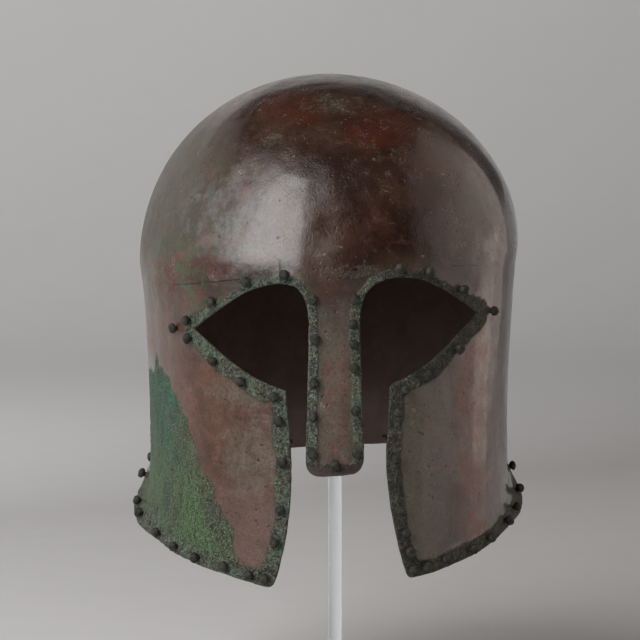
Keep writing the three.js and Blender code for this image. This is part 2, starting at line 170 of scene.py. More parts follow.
def rim_height(angle):
    """The lower edge rises from the cheek tips to the neck, and takes a
    little less of the lean than the rest."""
    across, ahead = plan(angle)
    x = across * WIDTH / 2
    unlean = blend(CHEEK_UNLEAN, NECK_UNLEAN, np.maximum(-ahead, 0))
    fade = smooth(np.abs(x), UNLEAN_START, UNLEAN_FULL)
    return NECK_RIM * through(RIM["ahead"], RIM["height"], ahead) - unlean * x * fade


def side_point(angle, height):
    """Below the ridge a section's width and reach carry the plan, the lower
    edge is pushed outwards by the square of how deep it lies in the turned
    out band, and everything rises towards +X by the lean."""
    across, ahead = plan(angle)
    share = height / ridge_height(angle)
    reach = np.where(
        ahead > 0,
        FRONT_REACH * through(SECTIONS["at"], SECTIONS["front"], share),
        BACK_REACH * through(SECTIONS["at"], SECTIONS["back"], share),
    )
    x = across * through(SECTIONS["at"], SECTIONS["width"], share) * WIDTH / 2
    y = -ahead * reach
    band = blend(FLARE_HEIGHT, NECK_FLARE_HEIGHT, np.maximum(-ahead, 0))
    depth = np.clip(1 - (height - rim_height(angle)) / band, 0, 1.2)
    push = FLARE * through(RIM["ahead"], RIM["flare"], ahead) * depth ** 2
    length = np.hypot(x, y)
    x = x + push * x / length
    y = y + push * y / length
    return np.stack([x, y, height + LEAN * x], axis=-1)


def dome_point(angle, rise):
    """The dome is half an ellipsoid that stands on the ridge."""
    across, ahead = plan(angle)
    reach = np.where(ahead > 0, FRONT_REACH, BACK_REACH)
    x = across * np.cos(rise) * WIDTH / 2
    foot = ridge_height(angle) + LEAN * x
    z = blend(foot, HEIGHT, np.sin(rise))
    return np.stack([x, -ahead * np.cos(rise) * reach, z], axis=-1)


def sharp_point(angle, level):
    """Side below level 1, dome above it."""
    height = blend(rim_height(angle), ridge_height(angle), np.minimum(level, 1))
    rise = np.clip(level - 1, 0, 1) * math.pi / 2
    dome = (level > 1)[..., None]
    return np.where(dome, dome_point(angle, rise), side_point(angle, height))


SIDE_SOFTNESS = 0.004
FACE_SOFTNESS = 0.05


def sheet_point(angle, level):
    """The sheet's outer face. Close to the ridge it is the mean of points a
    little lower and a little higher, which rounds the ridge: hardly at the
    sides, and so much over the face that it fades away there."""
    angle, level = np.broadcast_arrays(np.asarray(angle, float), np.asarray(level, float))
    softness = blend(SIDE_SOFTNESS, FACE_SOFTNESS, smooth(np.cos(angle), 0.75, 0.98))
    reach = softness * (1 - smooth(np.abs(level - 1), softness, 4 * softness))
    steps = np.linspace(-1, 1, 5)
    return sum(sharp_point(angle, level + step * reach) for step in steps) / len(steps)


def sheet_normal(angle, level):
    """The cross product of a small step round the head and one upwards."""
    step = 1e-3
    level = np.clip(level, None, 2 - 2 * step)
    around = sheet_point(angle + step, level) - sheet_point(angle - step, level)
    upward = sheet_point(angle, level + step) - sheet_point(angle, level - step)
    normal = np.cross(around, upward)
    return normal / np.linalg.norm(normal, axis=-1, keepdims=True)


print("brow at", sheet_point(0.0, 1.0).round(4), "crown at", sheet_point(0.0, 2.0).round(4))

# %% [markdown]
# ## Edges of the face
# The eye holes, the slot between the cheek guards and the nasal are cut
# through the sheet straight from the front, so their edges are drawn in the
# front view: x across and z up. One half is drawn with a few curves and the
# other is its mirror image, shifted a little, because old knocks have made the
# face uneven.

# %% Sizes of the face
EYE_REACH = 70.5 * MM
EYE_CORNER_HEIGHT = 124.8 * MM
BROW_HEIGHT = 146 * MM
CHEEK_TOP_HEIGHT = 94.5 * MM
CHEEK_TOP_REACH = 25.2 * MM
SLOT_HALF = 23 * MM
TIP_REACH = 33 * MM
NASAL_HALF = 12.4 * MM
NASAL_FOOT_HALF = 14.2 * MM
NASAL_FOOT_HEIGHT = 52.3 * MM
NASAL_FOOT_RADIUS = 7 * MM
NASAL_SHIFT = -1.2 * MM
FACE_SHIFT = 0.7 * MM
TIP_SHIFT = 1.2 * MM


# %% Curves of the face
def eye_at(across, up):
    """A place on an eye hole, as shares of its width and height."""
    return np.array([
        blend(NASAL_HALF, EYE_REACH, across),
        blend(CHEEK_TOP_HEIGHT, BROW_HEIGHT, up),
    ])


def bezier(start, first, second, end, count=24):
    """A cubic curve from start to end that leaves towards first and arrives
    from second."""
    t = np.linspace(0, 1, count, endpoint=False)[:, None]
    return ((1 - t) ** 3 * start + 3 * (1 - t) ** 2 * t * first
            + 3 * (1 - t) * t ** 2 * second + t ** 3 * end)


brow_start = eye_at(0, 0.61)
brow_top = eye_at(0.3, 1)
eye_corner = np.array([EYE_REACH, EYE_CORNER_HEIGHT])
cheek_top = np.array([CHEEK_TOP_REACH, CHEEK_TOP_HEIGHT])
cheek_waist = np.array([SLOT_HALF, 0.63 * CHEEK_TOP_HEIGHT])
waist_pull = np.array([SLOT_HALF, 0.44 * CHEEK_TOP_HEIGHT])
tip_pull = np.array([blend(SLOT_HALF, TIP_REACH, 0.37), 0.17 * CHEEK_TOP_HEIGHT])
cheek_tip = np.array([TIP_REACH, 0])
below_tip = np.array([TIP_REACH, -NECK_RIM])

eye_and_cheek = np.concatenate([
    bezier(brow_start, eye_at(0.01, 0.92), eye_at(0.11, 1), brow_top),
    bezier(brow_top, eye_at(0.54, 1), eye_at(0.75, 0.81), eye_corner),
    bezier(eye_corner, eye_at(0.78, 0.38), eye_at(0.56, 0.11), cheek_top),
    [cheek_top],
    bezier(cheek_waist, waist_pull, tip_pull, cheek_tip),
    [cheek_tip, below_tip],
])
turn = np.linspace(0, math.pi / 2, 8)
nasal_foot = np.stack([
    NASAL_FOOT_HALF - NASAL_FOOT_RADIUS * (1 - np.cos(turn)),
    NASAL_FOOT_HEIGHT + NASAL_FOOT_RADIUS * (1 - np.sin(turn)),
], axis=1)


def drawn(side, points):
    """One side of the face: mirrored or not, shifted, and leaning."""
    x, z = points.T
    aside = smooth(x, NASAL_HALF, CHEEK_TOP_REACH)
    low = np.maximum(1 - z / CHEEK_TOP_HEIGHT, 0)
    x = side * x + blend(NASAL_SHIFT, FACE_SHIFT + TIP_SHIFT * low, aside)
    return np.stack([x, z + LEAN * x], axis=1)


face_outline = np.concatenate([
    drawn(1, eye_and_cheek),
    drawn(-1, eye_and_cheek)[::-1],
    drawn(-1, nasal_foot),
    drawn(1, nasal_foot)[::-1],
])
print("points on the outline of the face:", len(face_outline))


# %% Noise for hammered and corroded metal
def grain(points, size, seed):
    """Smooth noise between -1 and 1: random numbers on a lattice of cubes of
    one size, blended inside each cube with a smooth step."""
    lattice = np.random.default_rng(seed).uniform(-1, 1, (32, 32, 32))
    place = points / size
    low = np.floor(place).astype(int)
    share = place - low
    share = share * share * (3 - 2 * share)
    total = 0
    for corner in np.ndindex(2, 2, 2):
        weight = np.prod(np.where(corner, share, 1 - share), axis=-1)
        i, j, k = ((low + corner) % 32).T
        total = total + weight * lattice[i, j, k]
    return total


# %% Distance to the edges
def outline_distance(points, outline):
    """How far points of the front view lie outside an outline, negative
    inside it, and the direction away from the nearest place on it. Each
    point is tested against each side of the outline: the foot of its
    perpendicular gives the distance, and an odd number of sides to its right
    means that it lies inside."""
    start = outline[None]
    run = np.roll(outline, -1, axis=0)[None] - start
    gap = points[:, None] - start
    share = np.clip((gap * run).sum(-1) / (run ** 2).sum(-1), 0, 1)
    away = gap - share[..., None] * run
    length = np.hypot(away[..., 0], away[..., 1])
    nearest = length.argmin(axis=1)
    row = np.arange(len(points))
    with np.errstate(divide="ignore", invalid="ignore"):
        crossing = start[..., 0] + gap[..., 1] / run[..., 1] * run[..., 0]
    spans = (gap[..., 1] >= 0) != (gap[..., 1] >= run[..., 1])
    inside = (spans & (points[:, None, 0] < crossing)).sum(axis=1) % 2 == 1
    distance = length[row, nearest]
    direction = away[row, nearest] / np.maximum(distance, 1e-9)[:, None]
    return np.where(inside, -distance, distance), direction


FACE_START = -23 * MM
FAR = 0.1
LOST_HOLE_ANGLE = math.radians(-74)
LOST_HOLE_RADIUS = 1.4 * MM
RIM_INSET = 4.2 * MM


def level_over_rim(angle, height):
    """The level of a place at a height over the lower edge."""
    return height / (ridge_height(angle) - rim_height(angle))


lost_hole = sheet_point(LOST_HOLE_ANGLE, level_over_rim(LOST_HOLE_ANGLE, RIM_INSET))


NIBBLE = 0.22 * MM


def rounded_min(a, b, radius):
    """The smaller of two distances, with a round corner between them."""
    near = np.maximum(radius - np.abs(a - b), 0) / radius
    return np.minimum(a, b) - near ** 2 * radius / 4


def edge_distance(angle, level):
    """How far a point of the sheet lies from the nearest edge, along the
    sheet. The front view foreshortens a distance where the sheet turns away,
    and dividing by the length of the direction's part in the sheet undoes
    that."""
    point = sheet_point(angle, level)
    normal = sheet_normal(angle, level)
    face = np.full(len(point), FAR)
    front = point[:, 1] < FACE_START
    flat = point[front][:, [0, 2]]
    distance = np.full(len(flat), FAR)
    direction = np.zeros_like(flat)
    for part in np.array_split(np.arange(len(flat)), 1 + len(flat) // 4000):
        distance[part], direction[part] = outline_distance(flat[part], face_outline)
    tilt = (direction * normal[front][:, [0, 2]]).sum(axis=1)
    face[front] = distance / np.sqrt(np.maximum(1 - tilt ** 2, 0.1))
    rim = level * (ridge_height(angle) - rim_height(angle))
    hole = np.linalg.norm(point - lost_hole, axis=1) - LOST_HOLE_RADIUS
    nibble = NIBBLE * (grain(point, 6 * MM, 5) + 0.6 * grain(point, 2.2 * MM, 6))
    return np.minimum(rounded_min(face, rim, 3 * MM) + nibble, hole)


# %% [markdown]
# ## Cutting the sheet on a grid
# The sheet is laid out as a grid of angles and levels, closer together at the
# face than at the back. The grid knows nothing of the eye holes. So every
# triangle that an edge crosses is split along it, and the part inside the hole
# is dropped. The same split at small distances from the edge leaves rows of
# points that run along it, which the round of the edge needs.

# %% The grid
COLUMNS = 300
SIDE_ROWS = 78
DOME_ROWS = 62
FRONT_CLOSENESS = 0.35
LOWEST_LEVEL = -0.03

turns = np.linspace(-math.pi, math.pi, COLUMNS + 1)
columns = turns - FRONT_CLOSENESS * np.sin(turns)
rows = np.concatenate([
    np.linspace(LOWEST_LEVEL, 1, SIDE_ROWS),
    np.linspace(1, 2, DOME_ROWS + 1)[1:],
])
grid_angle, grid_level = (values.ravel() for values in np.meshgrid(columns, rows))
index = np.arange(len(grid_angle)).reshape(len(rows), len(columns))
low_left, low_right = index[:-1, :-1].ravel(), index[:-1, 1:].ravel()
high_left, high_right = index[1:, :-1].ravel(), index[1:, 1:].ravel()
grid_faces = np.concatenate([
    np.stack([low_left, low_right, high_right], axis=1),
    np.stack([low_left, high_right, high_left], axis=1),
])
grid = np.stack([grid_angle, grid_level, edge_distance(grid_angle, grid_level)], axis=1)
print("grid:", len(grid), "points,", len(grid_faces), "triangles")


# %% Splitting triangles along a distance
def split(points, faces, limit):
    """Splits every triangle that the line of one edge distance crosses. The
    corner that is alone on its side goes first, the two sides that leave it
    get a new point each, and the triangle becomes three."""
    above = points[:, 2] > limit
    count = above[faces].sum(axis=1)
    crossed = faces[(count == 1) | (count == 2)]
    whole = faces[(count == 0) | (count == 3)]
    lone_is_above = above[crossed].sum(axis=1) == 1
    lone = (above[crossed] == lone_is_above[:, None]).argmax(axis=1)
    order = (lone[:, None] + np.arange(3)) % 3
    first, second, third = np.take_along_axis(crossed, order, axis=1).T
    sides = np.sort(np.concatenate([np.stack([first, second], 1), np.stack([first, third], 1)]), axis=1)
    sides, place = np.unique(sides, axis=0, return_inverse=True)
    place = place.reshape(-1)
    start, end = points[sides[:, 0]], points[sides[:, 1]]
    share = (limit - start[:, 2]) / (end[:, 2] - start[:, 2])
    added = start + (end - start) * share[:, None]
    miss = edge_distance(added[:, 0], added[:, 1]) - limit
    share = np.clip(share - miss / (end[:, 2] - start[:, 2]), 0.02, 0.98)
    added = start + (end - start) * share[:, None]
    added[:, 2] = limit
    to_second, to_third = np.split(place + len(points), 2)
    pieces = [
        np.stack([first, to_second, to_third], axis=1),
        np.stack([to_second, second, third], axis=1),
        np.stack([to_second, third, to_third], axis=1),
    ]
    return np.concatenate([points, added]), np.concatenate([whole, *pieces])


EDGE_ROWS = np.array([0.1, 0.35, 0.8, 1.6]) * MM

cut_points, cut_faces = split(grid, grid_faces, 0.0)
kept = (cut_points[cut_faces][:, :, 2] >= 0).all(axis=1)
cut_faces = cut_faces[kept]
for limit in EDGE_ROWS:
    cut_points, cut_faces = split(cut_points, cut_faces, limit)
used, cut_faces = np.unique(cut_faces, return_inverse=True)
cut_points = cut_points[used]
cut_faces = cut_faces.reshape(-1, 3)
print("cut sheet:", len(cut_points), "points,", len(cut_faces), "triangles")


# %% [markdown]
# ## Relief and thickness
# The real sheet was beaten out with a hammer, so it waves by a few tenths of
# a millimetre, and corrosion has left a raised rough band along its edges.
# Both are small enough to be added along the normal. The nasal is three times
# as thick as the rest, on its inner side, and every edge is rounded.

# %% The outer and the inner face
BAND_WIDTH = 7.6 * MM
NASAL_BAND_WIDTH = 4.8 * MM
BROW_BAND_WIDTH = 3.0 * MM
BAND_RELIEF = 0.2 * MM
GREEN_RELIEF = 0.3 * MM
GREEN_LINE = {
    "height": [10 * MM, 48 * MM, 75 * MM, 103 * MM, 122 * MM],
    "across": [-49 * MM, -61.5 * MM, -74 * MM, -86.5 * MM, -92 * MM],
}
EDGE_ROUND = 1.0 * MM
NASAL_BLEND = 6 * MM
NASAL_TOP = 128 * MM


def hammered(point):
    """Long shallow waves and shorter ones, as hammering leaves them."""
    return (0.24 * grain(point, 26 * MM, 11) + 0.09 * grain(point, 11 * MM, 12)) * MM


def nasal_share(point):
    """1 on the nasal, fading out beside it and towards the forehead."""
    x, y, z = point.T
    beside = smooth(np.abs(x - NASAL_SHIFT), NASAL_FOOT_HALF, NASAL_FOOT_HALF + NASAL_BLEND)
    above = smooth(z - LEAN * x, NASAL_TOP, BROW_HEIGHT)
    return (1 - beside) * (1 - above) * (y < FACE_START)


def band_share(point, edge):
    """1 on the corroded band along the edges, whose width wavers. It is
    narrower on the nasal and over the eyes."""
    height = point[:, 2] - LEAN * point[:, 0]
    brow = smooth(height, CHEEK_TOP_HEIGHT + 30 * MM, BROW_HEIGHT) * (point[:, 1] < FACE_START)
    width = blend(blend(BAND_WIDTH, BROW_BAND_WIDTH, brow), NASAL_BAND_WIDTH, nasal_share(point))
    width = width + 1.3 * MM * grain(point, 12 * MM, 21) + 0.7 * MM * grain(point, 4 * MM, 22)
    return 1 - smooth(edge, width - 1.8 * MM, width + 2 * MM)


def green_share(point):
    """1 on the part of the left cheek guard that kept its green crust, behind
    a line that runs down from the temple to the lower edge."""
    x, y, z = point.T
    behind = through(GREEN_LINE["height"], GREEN_LINE["across"], z) - x
    behind = behind + 3.5 * MM * grain(point, 13 * MM, 24) + 1.6 * MM * grain(point, 4.5 * MM, 25)
    top = blend(120 * MM, 98 * MM, smooth(-x, 87.5 * MM, 90 * MM)) + 5 * MM * grain(point, 9 * MM, 26)
    below = smooth(top - z, -2 * MM, 3 * MM)
    before = -y - 0.4 * (z - 60 * MM) + 12 * MM * grain(point, 17 * MM, 27) + 5 * MM * grain(point, 6 * MM, 28)
    return smooth(behind, -1.5 * MM, 1.5 * MM) * below * smooth(before, 0, 8 * MM)


angle, level, edge = cut_points.T
base = sheet_point(angle, level)
normal = sheet_normal(angle, level)
normal[level > 2 - 1e-6] = (0, 0, 1)
thickness = blend(WALL, NASAL_THICKNESS, nasal_share(base))
radius = np.minimum(0.45 * thickness, EDGE_ROUND)
sink = radius * (1 - np.sqrt(1 - np.clip(1 - edge / radius, 0, 1) ** 2))
band = band_share(base, edge)
green = green_share(base)
crumbs = grain(base, 3.4 * MM, 31) + 0.6 * grain(base, 7 * MM, 32)
relief = hammered(base) + BAND_RELIEF * band * (1 + 0.8 * crumbs) + GREEN_RELIEF * green * (0.6 + crumbs)
outer = base + normal * (relief - sink)[:, None]
inner = base - normal * (thickness - hammered(base) - sink)[:, None]
print("thickest place:", round(thickness.max() / MM, 2), "mm, thinnest:", round(thickness.min() / MM, 2))


# %% One closed skin
def border(faces):
    """The sides of the triangles that no neighbour shares."""
    sides = np.concatenate([faces[:, [0, 1]], faces[:, [1, 2]], faces[:, [2, 0]]])
    size = faces.max() + 1
    shared = np.isin(sides[:, 0] * size + sides[:, 1], sides[:, 1] * size + sides[:, 0])
    return sides[~shared]


def weld(points, faces, reach=1e-6):
    """Points that lie within a thousandth of a millimetre become one, and
    triangles that lose a corner by it are dropped."""
    _, first, place = np.unique(np.round(points / reach), axis=0, return_index=True, return_inverse=True)
    faces = place.reshape(-1)[faces]
    whole = (faces != np.roll(faces, 1, axis=1)).all(axis=1)
    return first, faces[whole], whole


first, sheet_faces, _ = weld(base, cut_faces)
outer, inner, edge, band, green = outer[first], inner[first], edge[first], band[first], green[first]
sides = border(sheet_faces)
count = len(outer)
wall = np.concatenate([
    np.stack([sides[:, 1], sides[:, 0], sides[:, 0] + count], axis=1),
    np.stack([sides[:, 1], sides[:, 0] + count, sides[:, 1] + count], axis=1),
])
HELMET_PLACE = np.array([HELMET_OFFSET, 0, TIP_LEVEL])
shell_points = np.concatenate([outer, inner]) + HELMET_PLACE
shell_faces = np.concatenate([sheet_faces, wall, sheet_faces[:, ::-1] + count])
print("skin of the helmet:", len(shell_faces), "triangles, open sides:", len(border(shell_faces)))


# %% Putting arrays into a mesh
def make_piece(name, points, faces, finishes, finish_of_face=None):
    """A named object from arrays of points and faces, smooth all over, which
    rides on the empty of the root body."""
    mesh = bpy.data.meshes.new(name)
    mesh.from_pydata(points.tolist(), [], faces.tolist())
    mesh.polygons.foreach_set("use_smooth", np.ones(len(faces), bool))
    for finish in finishes:
        mesh.materials.append(finish)
    if finish_of_face is not None:
        mesh.polygons.foreach_set("material_index", finish_of_face.astype(np.int32))
    mesh.update()
    piece = bpy.data.objects.new(name, mesh)
    bpy.context.scene.collection.objects.link(piece)
    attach(piece, "root")
    return piece


def give_values(piece, name, values):
    """One number for each point, which a material can read by its name."""
    attribute = piece.data.attributes.new(name, "FLOAT", "POINT")
    attribute.data.foreach_set("value", np.asarray(values, np.float32))


# %% [markdown]
# ## Shader arithmetic
# A finish is a formula over the surface: where the patina is red, where it is
# crusted, how rough it is. Blender writes formulas as nodes, so a small class
# wraps a socket and lets ordinary sums and products lay the nodes.

# %% A socket that can be reckoned with
class Wire:
    """The value of a socket. Sums, products and powers of wires and numbers
    add Math nodes to the net that the wire belongs to."""

    def __init__(self, net, socket):
        self.net = net
        self.socket = socket

    def reckon(self, operation, first, second=0.0):
        return self.net.node("ShaderNodeMath", {"operation": operation}, {0: first, 1: second})

    def __add__(self, other):
        return self.reckon("ADD", self, other)

    def __radd__(self, other):
        return self.reckon("ADD", other, self)

    def __sub__(self, other):
        return self.reckon("SUBTRACT", self, other)

    def __rsub__(self, other):
        return self.reckon("SUBTRACT", other, self)

    def __mul__(self, other):
        return self.reckon("MULTIPLY", self, other)

    def __rmul__(self, other):
        return self.reckon("MULTIPLY", other, self)

    def __truediv__(self, other):
        return self.reckon("DIVIDE", self, other)

    def __pow__(self, other):
        return self.reckon("POWER", self, other)

    def least(self, other):
        return self.reckon("MINIMUM", self, other)

    def most(self, other):
        return self.reckon("MAXIMUM", self, other)

    def size(self):
        return self.reckon("ABSOLUTE", self)


# %% A material's net of nodes
class Net:
    """The nodes of one material."""

    def __init__(self, name):
        self.material = bpy.data.materials.new(name)
        self.material.use_nodes = True
        self.tree = self.material.node_tree
        self.shader = self.tree.nodes["Principled BSDF"]

    def node(self, kind, settings, values, output=0):
        """Adds a node, sets it up, and feeds its sockets with wires or
        constants. The wire of one of its outputs comes back."""
        node = self.tree.nodes.new(kind)
        for setting, value in settings.items():
            setattr(node, setting, value)
        for key, value in values.items():
            self.feed(node.inputs[key], value)
        return Wire(self, node.outputs[output])

    def feed(self, socket, value):
        if isinstance(value, Wire):
            self.tree.links.new(value.socket, socket)
        else:
            socket.default_value = value

    def place(self):
        """Where a point of the helmet lies, in millimetres from the middle of
        the cheek tips' level."""
        here = self.node("ShaderNodeTexCoord", {}, {}, "Object")
        moved = self.node("ShaderNodeVectorMath", {"operation": "SUBTRACT"}, {0: here, 1: tuple(HELMET_PLACE)})
        return self.node("ShaderNodeVectorMath", {"operation": "SCALE"}, {0: moved, "Scale": 1 / MM})

    def stretched(self, place, shares):
        """A place whose three numbers are shortened by shares, which draws a
        pattern out along the axis of the smallest."""
        return self.node("ShaderNodeVectorMath", {"operation": "MULTIPLY"}, {0: place, 1: shares})

    def parts(self, vector):
        """The three numbers of a vector."""
        split_node = self.tree.nodes.new("ShaderNodeSeparateXYZ")
        self.feed(split_node.inputs[0], vector)
        return [Wire(self, output) for output in split_node.outputs]

    def value(self, name):
        """A number that the mesh holds for each point."""
        return self.node("ShaderNodeAttribute", {"attribute_name": name}, {}, "Fac")

    def noise(self, place, size, detail=2.0, roughness=0.5, twist=0.0):
        """Noise between 0 and 1 whose features are about size millimetres."""
        return self.node(
            "ShaderNodeTexNoise", {"normalize": True},
            {"Vector": place, "Scale": 1 / size, "Detail": detail, "Roughness": roughness, "Distortion": twist},
        )

    def stir(self, place, size, reach):
        """A shift of the place by coloured noise, up to reach millimetres."""
        noise = self.node(
            "ShaderNodeTexNoise", {"normalize": False}, {"Vector": place, "Scale": 1 / size, "Detail": 1.0}, "Color",
        )
        return self.node("ShaderNodeVectorMath", {"operation": "SCALE"}, {0: noise, "Scale": reach})

    def cells(self, place, size, feature="F1"):
        """Distance to the nearest of many scattered points, in cells of
        about size millimetres."""
        return self.node(
            "ShaderNodeTexVoronoi", {"feature": feature},
            {"Vector": place, "Scale": 1 / size}, "Distance",
        )

    def step(self, value, low, high):
        """A smooth step from 0 at low to 1 at high."""
        return self.node(
            "ShaderNodeMapRange", {"interpolation_type": "SMOOTHSTEP"},
            {"Value": value, "From Min": low, "From Max": high},
        )

    def mix(self, share, low, high):
        """A colour that lies that share of the way from low to high."""
        return self.node(
            "ShaderNodeMix", {"data_type": "RGBA"},
            {0: share, 6: self.colour(low), 7: self.colour(high)}, 2,
        )

    @staticmethod
    def colour(value):
        return value if isinstance(value, Wire) else (*value, 1.0)

    def near(self, x, z, middle_x, middle_z, reach_x, reach_z):
        """About 1 at a place of the front view and 0 beyond its reach: the
        bell of the distance, measured in the two reaches."""
        across = (x - middle_x) / reach_x
        up = (z - middle_z) / reach_z
        return 1 - self.step(across * across + up * up, 0.1, 1.0)

    def stroke(self, x, z, start, end, width):
        """1 on a straight stroke of the front view, 0 beside it. The foot of
        the perpendicular on the stroke gives the distance."""
        run_x, run_z = end[0] - start[0], end[1] - start[1]
        along = ((x - start[0]) * run_x + (z - start[1]) * run_z) / (run_x ** 2 + run_z ** 2)
        along = along.most(0).least(1)
        across = x - start[0] - along * run_x
        up = z - start[1] - along * run_z
        return 1 - self.step((across * across + up * up) ** 0.5, 0.3 * width, width)

    def bump(self, height, strength, depth, normal=None):
        """Tilts the surface by a height field. Depth is in metres."""
        values = {"Height": height, "Strength": strength, "Distance": depth}
        if normal is not None:
            values["Normal"] = normal
        return self.node("ShaderNodeBump", {}, values)

    def finish(self, **sockets):
        for name, value in sockets.items():
            socket = self.shader.inputs[name.replace("_", " ")]
            self.feed(socket, self.colour(value) if socket.type == "RGBA" else value)
        return self.material


print("shader helpers are ready")

# %% [markdown]
# ## The bronze outside
# Two thousand years in the ground have turned the bronze brown, with red
# patches of the metal's first oxide. It was then cleaned and waxed, so it
# shines softly. The left cheek guard kept a green crust that runs down from
# the temple, and a band of grey green crust follows every edge. Each of these
# is a mask over the surface, and the masks blend colours, roughness and bump.

# %% Colours of the patina
DARK_BROWN = (0.026, 0.009, 0.005)
MID_BROWN = (0.064, 0.029, 0.016)
GREY_BROWN = (0.098, 0.071, 0.057)
OLIVE_BROWN = (0.070, 0.062, 0.038)
RED_BROWN = (0.150, 0.068, 0.043)
RED_DARK = (0.085, 0.042, 0.029)
RUST = (0.185, 0.058, 0.036)
ROSE = (0.170, 0.110, 0.092)
SLATE = (0.105, 0.118, 0.115)
PURPLE_GREY = (0.136, 0.102, 0.094)
ASH_BROWN = (0.125, 0.112, 0.082)
OXIDE_RED = (0.080, 0.015, 0.008)
BAND_BROWN = (0.064, 0.056, 0.037)
BAND_DARK = (0.012, 0.009, 0.006)
# Painted shade for the downward-facing rim at the foot of the nasal.
PAINTED_SHADE_BROWN = (0.042, 0.026, 0.021)
BAND_GREEN = (0.090, 0.135, 0.090)
PIT = (0.010, 0.010, 0.007)
DEEP_GREEN = (0.010, 0.045, 0.030)
MINT = (0.085, 0.190, 0.125)
TEAL = (0.009, 0.116, 0.058)
MOSS = (0.062, 0.134, 0.042)
PALE = (0.36, 0.40, 0.31)


